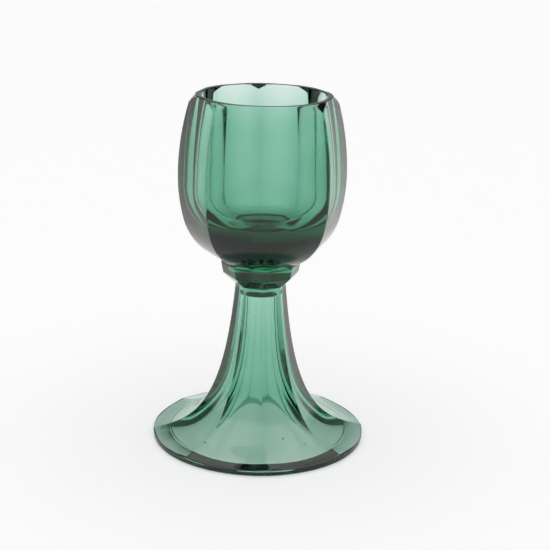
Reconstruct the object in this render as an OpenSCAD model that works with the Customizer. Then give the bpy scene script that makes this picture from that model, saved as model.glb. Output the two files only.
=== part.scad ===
// Pressed-glass candlestick. A cup with a round well stands on a wafer, and the wafer
// on a hollow eight-sided stem that flares into a round foot.
// The origin is the centre of the ring that the foot rests on. +Z is up and -Y is the front.

/* [Overall] */
// Height from the resting ring to the rim
total_h = 150; // [148:0.5:158]
// Flat sides round the wafer, stem and foot
side_count = 8; // [6:2:12]

/* [Cup] */
// Distance from the axis to the cup's corner edges where the cup is widest
cup_r = 35.5; // [34:0.5:38]
// Depth of the widest point below the rim
cup_widest_depth = 34.2; // [30:0.2:38]
// Radius of the curve of the cup's sides above the widest point
cup_upper_bow = 111; // [100:1:200]
// Radius of the curve of the cup's sides below the widest point
cup_lower_bow = 70; // [60:1:90]
// Angle through which the lower curve runs before the cup turns under
cup_lower_turn = 15.6; // [12:0.2:18]
// Radius of the curve that turns the cup under to the wafer
cup_under_bow = 25; // [22:0.5:26]
// Distance from the axis to the cup's corner edges where it meets the wafer
cup_base_r = 16.2; // [15:0.1:16.8]
// Distance behind the axis of the centre of the front panel's curve
front_centre_back = 11; // [8:0.2:14]
// Strips that make up the wide front panel
front_strips = 5; // [3:2:9]
// Radius at the rim of the cone that bevels the cup's corners
rim_bevel_r = 28.2; // [28:0.1:30]
// Angle of that bevel from the upright
rim_bevel_angle = 43; // [35:1:55]

/* [Well for the candle] */
// Radius of the round well
well_r = 25.8; // [20:0.2:26]
// Depth of the well's straight wall
well_straight_h = 39; // [30:1:42]
// Depth over which the straight wall curves in to the floor
well_bowl_h = 13; // [8:0.5:14]
// Radius of the flat floor
well_floor_r = 15.5; // [12:0.5:18]

/* [Wafer] */
// Distance from the axis to the wafer's corners where it is widest
wafer_r = 17.1; // [16.9:0.1:18]
// Height of the bevel round the wafer's top
wafer_bevel_h = 0.6; // [0.3:0.1:1]
// Distance from the axis to the wafer's corners at its lower edge
wafer_edge_r = 16.1; // [15:0.1:16]
// Height of the wafer's lower edge above the stem
wafer_edge_up = 4.9; // [3:0.1:6]

/* [Stem and foot] */
// Height of the stem and foot together
stem_h = 69; // [67:0.5:70]
// Radius of the round foot
foot_r = 45.8; // [44:0.2:48]
// Radius that the stem's corners would narrow to if the stem went on for ever
stem_narrow_r = 3; // [2:0.5:4]
// Strength of the flare: a larger number makes the whole stem wider
flare = 656; // [620:2:700]
// Height over which the flare fades
flare_fade = 15.9; // [15:0.1:17]
// Further spread of the flare where it runs out into the foot's edge
edge_spread = 30; // [26:0.5:32]
// Height over which that spread fades
edge_spread_fade = 2.3; // [2.2:0.1:2.6]
// Least thickness of the foot's edge
edge_h = 2.3; // [1.8:0.1:2.4]

/* [Hollow of the foot] */
// Radius that the hollow narrows to up the stem
hollow_stem_r = 5.4; // [4:0.2:6]
// Spread of the hollow towards the foot
hollow_spread = 29; // [26:0.5:31]
// Height over which that spread fades
hollow_fade = 14; // [12:0.5:15]
// Further spread of the hollow at its mouth
mouth_spread = 8.4; // [6:0.2:9]
// Height over which that spread fades
mouth_spread_fade = 1; // [0.8:0.1:1.5]
// Height of the top of the hollow
hollow_h = 65.5; // [50:0.5:66]
// Height of the shallow dome at the top of the hollow
hollow_dome_h = 1.2; // [0.5:0.1:3]

/* [Hidden] */

glass_green = [0.13, 0.42, 0.32];
fine = 96;               // sides used to draw round shapes
arc_step = 3;            // degrees between points of an arc in an outline
flare_steps = 24;        // straight pieces in an outline of a flare
bottom_steps = 8;        // straight pieces in the outline of the well's rounded bottom
dome_steps = 4;          // straight pieces in the outline of the dome
reach = 60;              // further from the axis than any surface
past = 1;                // run-out of a cutter past the surface that it cuts
half_side = 180 / side_count;

// The cup is always eight-sided, with one wide front panel in place of its two front sides.
cup_side_turn = 45;
cup_half_side = cup_side_turn / 2;
front_corner_turn = 45;
front_turn = 74;         // degrees of the front panel's own curve that its strips cover

// Centres of the three curves of the cup's side, as [distance from the axis, height]
widest_z = total_h - cup_widest_depth;
upper_centre = [cup_r - cup_upper_bow, widest_z];
lower_centre = [cup_r - cup_lower_bow, widest_z];
under_centre = lower_centre
    + (cup_lower_bow - cup_under_bow) * [cos(cup_lower_turn), -sin(cup_lower_turn)];
under_end = -acos((cup_base_r - under_centre[0]) / cup_under_bow);
cup_bottom_z = under_centre[1] + cup_under_bow * sin(under_end);
rim_turn = asin(cup_widest_depth / cup_upper_bow);

// Points of an arc from angle a0 to angle a1, spaced evenly
function arc(centre, r, a0, a1) =
    let (n = ceil(abs(a1 - a0) / arc_step))
    [for (i = [0:n]) let (a = a0 + (a1 - a0) * i / n) centre + r * [cos(a), sin(a)]];

// Without the first point, so that two arcs join with no doubled point
function rest(list) = [for (i = [1:len(list) - 1]) list[i]];

// The cup's corner edge from the wafer up to the rim, as [distance from the axis, height]
cup_edge = concat(
    arc(under_centre, cup_under_bow, under_end, -cup_lower_turn),
    rest(arc(lower_centre, cup_lower_bow, -cup_lower_turn, 0)),
    rest(arc(upper_centre, cup_upper_bow, 0, rim_turn))
);

// The edge between two strips of the front panel, measured from the axis of its curve
front_edge = [for (p = cup_edge)
    [norm([p[0] * sin(front_corner_turn), front_centre_back + p[0] * cos(front_corner_turn)]),
     p[1]]];

// Distance from the axis to the stem's corners at height z
function stem_corner_r(z) = stem_narrow_r + flare / (z + flare_fade)
    + edge_spread * exp(-z / edge_spread_fade);

// Radius of the foot's hollow at height z
function hollow_r(z) = hollow_stem_r + hollow_spread * exp(-z / hollow_fade)
    + mouth_spread * exp(-z / mouth_spread_fade);

// Heights from z0 to z1, crowded towards the foot, where both flares bend most
function flare_heights(z0, z1) =
    [for (i = [0:flare_steps]) z0 + (z1 - z0) * pow(i / flare_steps, 2)];

// The stem's corner edge from the resting ring up to the wafer. At its lower end it lies
// outside the round foot, so that the sides between the corners still reach the edge.
stem_edge = concat([[stem_corner_r(edge_h), 0]],
    [for (z = flare_heights(edge_h, stem_h)) [stem_corner_r(z), z]]);

// A prism across the whole part, whose face at +X stands at the corner edge's distance
// times side_scale. It reaches far behind, or is the same on both sides when both is true.
module side_prism(edge, side_scale, both) {
    face = [for (p = edge) [p[0] * side_scale, p[1]]];
    n = len(face);
    back = both ? [for (i = [n - 1:-1:0]) [-face[i][0], face[i][1]]]
                : [[-reach, face[n - 1][1]], [-reach, face[0][1]]];
    rotate([90, 0, 0])
        linear_extrude(2 * reach, center = true)
            polygon(concat(face, back));
}

// A regular many-sided body whose corners follow the given edge, one corner at the front
module faceted_body(edge, sides) {
    half = 180 / sides;
    intersection_for (i = [0:sides / 2 - 1])
        rotate([0, 0, 90 + half * (2 * i + 1)])
            side_prism(edge, cos(half), true);
}

// Everything behind the cup's wide front panel, which is made of upright strips. They
// follow a curve about an axis behind the cup's own, through the two front corners.
module behind_front_panel() {
    strip_turn = front_turn / front_strips;
    translate([0, front_centre_back, 0])
        intersection_for (i = [0:front_strips - 1])
            rotate([0, 0, -90 + strip_turn * (i - (front_strips - 1) / 2)])
                side_prism(front_edge, cos(strip_turn / 2), false);
}

// The six flat-sided panels at the sides and back. A prism that is the same on both
// sides makes a side panel and the one opposite.
module side_panels() {
    scale_to_side = cos(cup_half_side);
    intersection() {
        rotate([0, 0, cup_half_side]) side_prism(cup_edge, scale_to_side, true);
        rotate([0, 0, -cup_half_side]) side_prism(cup_edge, scale_to_side, true);
        rotate([0, 0, 90 - cup_half_side]) side_prism(cup_edge, scale_to_side, false);
        rotate([0, 0, 90 + cup_half_side]) side_prism(cup_edge, scale_to_side, false);
    }
}

// The cone that takes off the corners at the rim
module rim_bevel() {
    drop = total_h - cup_bottom_z + past;
    translate([0, 0, cup_bottom_z - past])
        cylinder(h = drop, r1 = rim_bevel_r + drop * tan(rim_bevel_angle), r2 = rim_bevel_r,
                 $fn = fine);
}

// The round well, which rounds in to a flat floor
module well() {
    wall_z = total_h - well_straight_h;
    bottom = [for (i = [0:bottom_steps])
        let (a = 90 * i / bottom_steps)
        [well_floor_r + (well_r - well_floor_r) * cos(a), wall_z - well_bowl_h * sin(a)]];
    rotate_extrude($fn = fine)
        polygon(concat([[0, total_h + past], [well_r, total_h + past]], bottom,
            [[0, wall_z - well_bowl_h]]));
}

module cup() {
    color(glass_green)
        difference() {
            intersection() {
                side_panels();
                behind_front_panel();
                rim_bevel();
            }
            well();
        }
}

module wafer() {
    edge = [
        [stem_corner_r(stem_h), stem_h],
        [wafer_edge_r, stem_h + wafer_edge_up],
        [wafer_r, cup_bottom_z - wafer_bevel_h],
        [cup_base_r, cup_bottom_z]
    ];
    color(glass_green)
        faceted_body(edge, side_count);
}

// The hollow under the foot, which narrows up the stem to a shallow dome
module hollow() {
    spring_z = hollow_h - hollow_dome_h;
    spring_r = hollow_r(spring_z);
    wall = [for (z = flare_heights(0, spring_z)) [hollow_r(z), z]];
    dome = [for (i = [1:dome_steps])
        let (a = 90 * i / dome_steps)
        [spring_r * cos(a), spring_z + hollow_dome_h * sin(a)]];
    rotate_extrude($fn = fine)
        polygon(concat([[0, -past], [hollow_r(0), -past]], wall, dome));
}

module stem_and_foot() {
    color(glass_green)
        difference() {
            intersection() {
                faceted_body(stem_edge, side_count);
                cylinder(h = stem_h, r = foot_r, $fn = fine);
            }
            hollow();
        }
}

cup();
wafer();
stem_and_foot();
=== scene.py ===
"""Looks of the glass candlestick: one body of fused glass on a pale floor in soft light."""

import math

import bmesh
import bpy
import numpy as np
from mathutils import Matrix, Vector


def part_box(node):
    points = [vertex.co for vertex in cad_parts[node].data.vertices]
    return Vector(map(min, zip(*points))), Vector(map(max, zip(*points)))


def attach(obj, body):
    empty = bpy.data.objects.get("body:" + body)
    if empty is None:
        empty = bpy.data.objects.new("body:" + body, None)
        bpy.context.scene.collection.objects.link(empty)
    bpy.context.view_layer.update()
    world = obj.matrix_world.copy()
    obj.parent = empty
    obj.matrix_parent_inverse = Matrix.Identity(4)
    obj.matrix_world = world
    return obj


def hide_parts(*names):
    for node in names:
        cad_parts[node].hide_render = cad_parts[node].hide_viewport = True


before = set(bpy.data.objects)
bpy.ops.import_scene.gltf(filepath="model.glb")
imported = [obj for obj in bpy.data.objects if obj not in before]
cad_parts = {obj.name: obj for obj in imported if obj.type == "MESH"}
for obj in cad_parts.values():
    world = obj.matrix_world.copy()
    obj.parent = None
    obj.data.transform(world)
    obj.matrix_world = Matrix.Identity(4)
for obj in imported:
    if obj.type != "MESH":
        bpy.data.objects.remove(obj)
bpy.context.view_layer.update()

MM = 0.001

# ---- Driving sizes, in millimetres -----------------------------------------------------

TOTAL_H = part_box("cup")[1].z / MM
STEM_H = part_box("stem_and_foot")[1].z / MM
FOOT_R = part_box("stem_and_foot")[1].x / MM
CUP_BOTTOM_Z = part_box("cup")[0].z / MM

CUP_R = 35.5                # to the cup's corners where it is widest
WIDEST_Z = TOTAL_H - 34.2   # the cup is widest this far below the rim
UPPER_BOW, LOWER_BOW, UNDER_BOW = 111.0, 70.0, 25.0     # radii of the curves of its sides
LOWER_TURN = math.radians(15.6)                         # how far round the lower curve runs
FRONT_CENTRE_BACK = 11.0    # the front panel's curve is centred this far behind the axis
RIM_BEVEL_R = 28.2          # of the cone that bevels the cup's corners, at the rim
RIM_BEVEL_SLOPE = math.tan(math.radians(43))

WELL_R, WELL_STRAIGHT_H = 25.8, 39.0
WELL_FLOOR_R, WELL_BOWL_H = 15.5, 13.0      # the flat floor, and the curve round it
WELL_FLOOR_Z = TOTAL_H - WELL_STRAIGHT_H - WELL_BOWL_H

WAFER_R, WAFER_BEVEL_H = 17.1, 0.6          # where the wafer is widest, and above that
WAFER_EDGE_R, WAFER_EDGE_UP = 16.1, 4.9     # its lower edge, and how far that is up
CUP_BASE_R = 16.2

STEM_NARROW_R, FLARE, FLARE_FADE = 3.0, 656.0, 15.9
EDGE_SPREAD, EDGE_SPREAD_FADE, EDGE_H = 30.0, 2.3, 2.3
HOLLOW_STEM_R, HOLLOW_SPREAD, HOLLOW_FADE = 5.4, 29.0, 14.0
MOUTH_SPREAD, MOUTH_SPREAD_FADE = 8.4, 1.0
HOLLOW_H, HOLLOW_DOME_H = 65.5, 1.2

RING_ROUND, RIM_ROUND = 0.7, 0.35           # rounding of the resting ring and of the rim

SIDES = 8
HALF_SIDE = math.pi / SIDES
CORNERS = [i * 2 * HALF_SIDE for i in range(SIDES)]     # turn from the front, -Y


# ---- Outlines --------------------------------------------------------------------------

def cup_corner_r(z):
    """Distance from the axis to the cup's corner edges at height z."""
    if z >= WIDEST_Z:
        return CUP_R - UPPER_BOW + math.sqrt(UPPER_BOW ** 2 - (z - WIDEST_Z) ** 2)
    lower_end = WIDEST_Z - LOWER_BOW * math.sin(LOWER_TURN)
    if z >= lower_end:
        return CUP_R - LOWER_BOW + math.sqrt(LOWER_BOW ** 2 - (z - WIDEST_Z) ** 2)
    reach = LOWER_BOW - UNDER_BOW
    centre_r = CUP_R - LOWER_BOW + reach * math.cos(LOWER_TURN)
    centre_z = WIDEST_Z - reach * math.sin(LOWER_TURN)
    return centre_r + math.sqrt(max(UNDER_BOW ** 2 - (z - centre_z) ** 2, 0.0))


def stem_corner_r(z):
    """Distance from the axis to the stem's corner edges at height z."""
    spread = EDGE_SPREAD * math.exp(-max(z, EDGE_H) / EDGE_SPREAD_FADE)
    return STEM_NARROW_R + FLARE / (z + FLARE_FADE) + spread


def hollow_r(z):
    """Radius of the hollow of the foot at height z."""
    spread = HOLLOW_SPREAD * math.exp(-z / HOLLOW_FADE)
    return HOLLOW_STEM_R + spread + MOUTH_SPREAD * math.exp(-z / MOUTH_SPREAD_FADE)


# ---- Sections --------------------------------------------------------------------------

EDGE_ROUND = 9000.0         # the larger this is, the sharper the moulded corner edges
FAR = 1e3                   # where a flat side that faces away is put


def soft_min(radii):
    """The least of several radii per direction, with the corner between two rounded a little."""
    pull = np.stack([1.0 / r for r in radii])
    top = pull.max(axis=0)
    return 1.0 / (top + np.log(np.exp(EDGE_ROUND * (pull - top)).sum(axis=0)) / EDGE_ROUND)


def side_radii(turns, apothem):
    """Distance out to each flat side, whose normals point at the given angles."""
    radii = []
    for turn in turns:
        facing = np.cos(ANGLES - turn)
        least = 0.05
        radii.append(np.where(facing > least, apothem / np.maximum(facing, least), FAR))
    return radii


def directions():
    """Turns from the front round the axis, in radians, crowded at the corner edges."""
    by_corner = [0.0, 0.004, 0.008, 0.013, 0.02, 0.03, 0.05]
    on_flat = np.linspace(0.085, HALF_SIDE, 7)
    half = by_corner + list(on_flat)
    angles = []
    for corner in CORNERS:
        angles += [corner + a for a in half] + [corner - a for a in half[1:-1]]
    return np.array(sorted(set(round(a % (2 * math.pi), 9) for a in angles)))


ANGLES = directions()
REGULAR_SIDES = [c + HALF_SIDE for c in CORNERS]
CUP_SIDES = REGULAR_SIDES[1:-1]     # the two front sides give way to the front panel


def cup_section(z):
    """The flat sides, the curved front panel between its two corners, and the rim's bevel."""
    corner = cup_corner_r(z)
    at_corner = corner * math.sqrt(0.5)     # those corners are 45 degrees from the front
    panel = math.hypot(at_corner, at_corner + FRONT_CENTRE_BACK)
    front = -FRONT_CENTRE_BACK * np.cos(ANGLES) + np.sqrt(
        panel ** 2 - (FRONT_CENTRE_BACK * np.sin(ANGLES)) ** 2)
    bevel = np.full_like(ANGLES, RIM_BEVEL_R + (TOTAL_H - z) * RIM_BEVEL_SLOPE)
    return soft_min(side_radii(CUP_SIDES, corner * math.cos(HALF_SIDE)) + [front, bevel])


def stem_section(z):
    """The stem's flat sides, and the round edge of the foot."""
    sides = side_radii(REGULAR_SIDES, stem_corner_r(z) * math.cos(HALF_SIDE))
    return soft_min(sides + [np.full_like(ANGLES, FOOT_R)])


def wafer_section(z):
    """The wafer's flat sides, which go straight from one of its edges to the next."""
    edge_z = STEM_H + WAFER_EDGE_UP
    heights = [STEM_H, edge_z, CUP_BOTTOM_Z - WAFER_BEVEL_H, CUP_BOTTOM_Z]
    corners = [stem_corner_r(STEM_H), WAFER_EDGE_R, WAFER_R, CUP_BASE_R]
    corner = float(np.interp(z, heights, corners))
    return soft_min(side_radii(REGULAR_SIDES, corner * math.cos(HALF_SIDE)))


def circle(r):
    """A round section."""
    return np.full_like(ANGLES, r)


# ---- The body of glass -----------------------------------------------------------------

def spaced(start, end, count, power=1.0):
    """Heights from start to end, leaving out start. A power over 1 crowds them at start."""
    return [start + (end - start) * (i / count) ** power for i in range(1, count + 1)]


def rounded_edge(z, radii, e, up, outward, steps=5):
    """Rings that round an edge between a wall and a flat at height z. up is 1 at the top of a
    body and -1 under it; outward is 1 on an outer wall and -1 in a hollow. Wall first."""
    rings = []
    for i in range(steps + 1):
        a = math.pi / 2 * i / steps
        rings.append((z - up * e * (1 - math.sin(a)), radii - outward * e * (1 - math.cos(a))))
    hold = e * 0.3      # one more ring this far in keeps the shading of the flat flat
    rings.append((z, radii - outward * (e + hold)))
    return rings


def hollow_rings():
    """From the top of the hollow down to the resting ring."""
    steps = 16
    spring_z = HOLLOW_H - HOLLOW_DOME_H
    rings = []
    for i in range(1, steps + 1):
        a = math.pi / 2 * i / steps
        rings.append((spring_z + HOLLOW_DOME_H * math.cos(a),
                      circle(hollow_r(spring_z) * math.sin(a))))
    heights = spaced(RING_ROUND, spring_z, 100, 2.2)[-2::-1]
    rings += [(z, circle(hollow_r(z))) for z in heights]
    return rings + rounded_edge(0, circle(hollow_r(RING_ROUND)), RING_ROUND, -1, -1)


def stem_rings():
    """From the resting ring out to the foot's edge and up to the wafer."""
    heights = spaced(RING_ROUND, EDGE_H, 4) + spaced(EDGE_H, STEM_H, 120, 2.2)
    return (rounded_edge(0, circle(FOOT_R), RING_ROUND, -1, 1)[::-1]
            + [(z, stem_section(z)) for z in heights])


def wafer_rings():
    """Up the wafer, with two rings close together at each edge to keep it crisp."""
    crisp = 0.2
    edges = [STEM_H, STEM_H + WAFER_EDGE_UP, CUP_BOTTOM_Z]
    rings = []
    for low, high in zip(edges, edges[1:]):
        heights = spaced(low, high - crisp, 8) + [high]
        rings += [(z, wafer_section(z)) for z in heights]
    return rings


def cup_rings():
    """Up the outside of the cup and over the rim."""
    wall_top = TOTAL_H - RIM_ROUND
    heights = spaced(CUP_BOTTOM_Z, WIDEST_Z, 70, 1.5) + spaced(WIDEST_Z, wall_top, 50)[:-1]
    return ([(z, cup_section(z)) for z in heights]
            + rounded_edge(TOTAL_H, cup_section(wall_top), RIM_ROUND, 1, 1)
            + rounded_edge(TOTAL_H, circle(WELL_R), RIM_ROUND, 1, -1)[::-1])


def well_rings():
    """Down the well's wall, round its bottom and in towards the middle of its floor."""
    steps = 30
    wall_z = TOTAL_H - WELL_STRAIGHT_H
    rings = [(z, circle(WELL_R)) for z in spaced(TOTAL_H - 1, wall_z, 20)]
    for i in range(1, steps + 1):
        a = math.pi / 2 * i / steps
        rings.append((wall_z - WELL_BOWL_H * math.sin(a),
                      circle(WELL_FLOOR_R + (WELL_R - WELL_FLOOR_R) * math.cos(a))))
    return rings + [(WELL_FLOOR_Z, circle(WELL_FLOOR_R * part)) for part in (0.98, 0.9, 0.5)]


# Seed bubbles in the glass: radius, distance from the axis, turn from the front in degrees,
# height
SEEDS = [(0.5, 26.4, 18.4, 6.9), (0.35, 32.3, -47.2, 4.0), (0.25, 31.0, 35.0, 4.2),
         (0.35, 29.9, 36.9, 136.0), (0.2, 31.0, 31.0, 121.0), (0.18, 9.0, 200.0, 40.0)]


def add_seeds(bm):
    """Round voids inside the glass, with their faces turned inwards."""
    for radius, away, turn, z in SEEDS:
        a = math.radians(turn)
        centre = Vector((away * math.sin(a), -away * math.cos(a), z)) * MM
        made = bmesh.ops.create_icosphere(
            bm, subdivisions=3, radius=radius * MM, matrix=Matrix.Translation(centre))
        faces = {f for v in made["verts"] for f in v.link_faces}
        bmesh.ops.reverse_faces(bm, faces=list(faces))


def mesh_from_rings(name, rings, first_z, last_z):
    """A closed mesh through the rings, with one point on the axis at each end."""
    n = len(ANGLES)
    outward = np.stack([np.sin(ANGLES), -np.cos(ANGLES)], axis=1)
    verts = [(0.0, 0.0, first_z * MM)]
    for z, radii in rings:
        xy = outward * radii[:, None] * MM
        verts += [(x, y, z * MM) for x, y in xy]
    verts.append((0.0, 0.0, last_z * MM))
    faces = [(0, 1 + (i + 1) % n, 1 + i) for i in range(n)]
    for r in range(len(rings) - 1):
        low, high = 1 + r * n, 1 + (r + 1) * n
        faces += [(low + i, low + (i + 1) % n, high + (i + 1) % n, high + i)
                  for i in range(n)]
    last, end = 1 + (len(rings) - 1) * n, len(verts) - 1
    faces += [(last + i, last + (i + 1) % n, end) for i in range(n)]
    mesh = bpy.data.meshes.new(name)
    mesh.from_pydata(verts, [], faces)
    bm = bmesh.new()
    bm.from_mesh(mesh)
    bmesh.ops.recalc_face_normals(bm, faces=bm.faces)
    add_seeds(bm)
    bm.to_mesh(mesh)
    bm.free()
    mesh.shade_smooth()
    obj = bpy.data.objects.new(name, mesh)
    bpy.context.scene.collection.objects.link(obj)
    return obj


# ---- Materials -------------------------------------------------------------------------

# Relief of the glass's surface: how close together it is, per metre, and how high in metres
WAVE_SCALE, WAVE_HEIGHT = 55, 0.00008
FLOW_SCALE, FLOW_HEIGHT = 420, 0.000003
FLOW_STRETCH = (1, 1, 0.12)             # the flow lines are drawn out upwards
PIT_SCALE, PIT_HEIGHT = 2600, 0.00000005
BLOOM_SCALE, BLOOM = 240, 0.012         # mottled bloom, and its roughness
WORN, WORN_H = 0.08, 0.0003             # roughness of the worn resting ring, and its height
TINT_SCALE, TINT = 35, (0.985, 0.995, 0.99, 1)
GLASS_COLOUR, GLASS_DENSITY = (0.0, 0.58, 0.38, 1), 115.0   # of the body, which absorbs light


def noise(nt, where, scale, detail=2.0, stretch=None):
    """A noise pattern over the body. A stretch under 1 along an axis draws it out that way."""
    if stretch:
        mapping = nt.nodes.new("ShaderNodeMapping")
        mapping.inputs["Scale"].default_value = stretch
        nt.links.new(where, mapping.inputs["Vector"])
        where = mapping.outputs["Vector"]
    tex = nt.nodes.new("ShaderNodeTexNoise")
    tex.inputs["Scale"].default_value = scale
    tex.inputs["Detail"].default_value = detail
    nt.links.new(where, tex.inputs["Vector"])
    return tex.outputs["Fac"]


def remap(nt, value, low, high, to_low, to_high):
    """A value between low and high brought to between to_low and to_high."""
    node = nt.nodes.new("ShaderNodeMapRange")
    for name, number in (("From Min", low), ("From Max", high),
                         ("To Min", to_low), ("To Max", to_high)):
        node.inputs[name].default_value = number
    nt.links.new(value, node.inputs["Value"])
    return node.outputs["Result"]


def added(nt, a, b):
    node = nt.nodes.new("ShaderNodeMath")
    node.operation = "ADD"
    nt.links.new(a, node.inputs[0])
    nt.links.new(b, node.inputs[1])
    return node.outputs["Value"]


def bump(nt, height, distance, below=None):
    """Relief of the given pattern, on top of the relief below."""
    node = nt.nodes.new("ShaderNodeBump")
    node.inputs["Strength"].default_value = 1.0
    node.inputs["Distance"].default_value = distance
    nt.links.new(height, node.inputs["Height"])
    if below:
        nt.links.new(below, node.inputs["Normal"])
    return node.outputs["Normal"]


def glass_material():
    """Clear blue-green pressed glass: slow waves and drawn-out flow lines from the mould, a
    faint mottled bloom, and a resting ring that is slightly worn."""
    mat = bpy.data.materials.new("pressed_green_glass")
    mat.use_nodes = True
    nt = mat.node_tree
    nt.nodes.clear()
    out = nt.nodes.new("ShaderNodeOutputMaterial")
    glass = nt.nodes.new("ShaderNodeBsdfPrincipled")
    glass.inputs["IOR"].default_value = 1.5
    glass.inputs["Transmission Weight"].default_value = 1.0

    where = nt.nodes.new("ShaderNodeTexCoord").outputs["Object"]
    split = nt.nodes.new("ShaderNodeSeparateXYZ")
    nt.links.new(where, split.inputs["Vector"])

    waves = bump(nt, noise(nt, where, WAVE_SCALE, 1.0), WAVE_HEIGHT)
    flow = bump(nt, noise(nt, where, FLOW_SCALE, 2.0, FLOW_STRETCH), FLOW_HEIGHT, waves)
    pits = bump(nt, noise(nt, where, PIT_SCALE, 3.0), PIT_HEIGHT, flow)
    nt.links.new(pits, glass.inputs["Normal"])

    bloom = remap(nt, noise(nt, where, BLOOM_SCALE, 5.0), 0.45, 0.8, 0.0, BLOOM)
    worn = remap(nt, split.outputs["Z"], 0.00005, WORN_H, WORN, 0.0)
    nt.links.new(added(nt, bloom, worn), glass.inputs["Roughness"])

    tint = nt.nodes.new("ShaderNodeMix")
    tint.data_type = "RGBA"
    tint.inputs["A"].default_value = (1, 1, 1, 1)
    tint.inputs["B"].default_value = TINT
    nt.links.new(noise(nt, where, TINT_SCALE, 3.0), tint.inputs["Factor"])
    nt.links.new(tint.outputs["Result"], glass.inputs["Base Color"])

    absorb = nt.nodes.new("ShaderNodeVolumeAbsorption")
    absorb.inputs["Color"].default_value = GLASS_COLOUR
    absorb.inputs["Density"].default_value = GLASS_DENSITY
    nt.links.new(glass.outputs["BSDF"], out.inputs["Surface"])
    nt.links.new(absorb.outputs["Volume"], out.inputs["Volume"])
    return mat


# ---- Studio ----------------------------------------------------------------------------

FLOOR_GLOW = 0.26           # evens out the floor, as light from under a white sheet would


def white_sheet():
    mat = bpy.data.materials.new("studio_panel")
    mat.use_nodes = True
    shader = mat.node_tree.nodes["Principled BSDF"]
    shader.inputs["Base Color"].default_value = (0.93, 0.93, 0.93, 1)
    shader.inputs["Roughness"].default_value = 0.9
    shader.inputs["Emission Color"].default_value = (1, 1, 1, 1)
    shader.inputs["Emission Strength"].default_value = FLOOR_GLOW
    return mat


def add_floor():
    """A pale floor, a hair under the resting ring so that the two don't coincide."""
    bpy.ops.mesh.primitive_plane_add(size=6)
    floor = bpy.context.object
    floor.name = "studio_floor"
    floor.location.z = -0.0002
    floor.data.materials.append(white_sheet())


# Brightness of the studio, by the sine of the angle above the horizon
SKY = [(0.0, 0.94), (0.1, 0.94), (0.22, 0.08), (0.62, 0.08), (0.72, 1.3), (1.0, 1.3)]


def set_world():
    """A soft studio, the same all round: white low down, dimmer above, a bright overhead box."""
    world = bpy.data.worlds.new("studio")
    bpy.context.scene.world = world
    world.use_nodes = True
    nt = world.node_tree
    back = nt.nodes["Background"]
    where = nt.nodes.new("ShaderNodeTexCoord")
    split = nt.nodes.new("ShaderNodeSeparateXYZ")
    ramp = nt.nodes.new("ShaderNodeValToRGB")
    nt.links.new(where.outputs["Generated"], split.inputs["Vector"])
    nt.links.new(split.outputs["Z"], ramp.inputs["Fac"])
    nt.links.new(ramp.outputs["Color"], back.inputs["Color"])
    stops = ramp.color_ramp.elements
    brightest = max(level for _, level in SKY)
    while len(stops) < len(SKY):
        stops.new(0.5)
    for stop, (height, level) in zip(stops, SKY):
        stop.position = height
        stop.color = (level / brightest,) * 3 + (1,)
    back.inputs["Strength"].default_value = brightest


def add_camera():
    """A viewpoint a little above the rim, turned slightly to the left."""
    turn = math.radians(4.9)
    aside, away, height = -0.0007, 0.564, 0.249
    pitch, roll, yaw = math.radians(17.37), math.radians(1.35), math.radians(0.687)
    data = bpy.data.cameras.new("camera")
    data.sensor_width, data.lens = 36, 90.72
    data.clip_start, data.clip_end = 0.01, 50
    camera = bpy.data.objects.new("camera", data)
    place = Matrix.Rotation(-turn, 4, "Z") @ Matrix.Translation((aside, -away, height))
    look = Matrix.Rotation(-yaw, 4, "Z") @ Matrix.Rotation(math.pi / 2 - pitch, 4, "X")
    camera.matrix_world = place @ look @ Matrix.Rotation(roll, 4, "Z")
    bpy.context.scene.collection.objects.link(camera)
    bpy.context.scene.camera = camera


def set_light_paths():
    """Light goes through many faces of the glass, so it needs more bounces than usual."""
    cycles = bpy.context.scene.cycles
    cycles.max_bounces = 48
    cycles.transmission_bounces = 48
    cycles.glossy_bounces = 32
    cycles.diffuse_bounces = 4
    cycles.volume_bounces = 0


# ---- The scene -------------------------------------------------------------------------

rings = hollow_rings() + stem_rings() + wafer_rings() + cup_rings() + well_rings()
glass_body = mesh_from_rings("glass_body", rings, HOLLOW_H, WELL_FLOOR_Z)
glass_body.data.materials.append(glass_material())
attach(glass_body, "root")
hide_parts("cup", "wafer", "stem_and_foot")

add_floor()
set_world()
add_camera()
bpy.context.scene.view_settings.view_transform = "Standard"
set_light_paths()
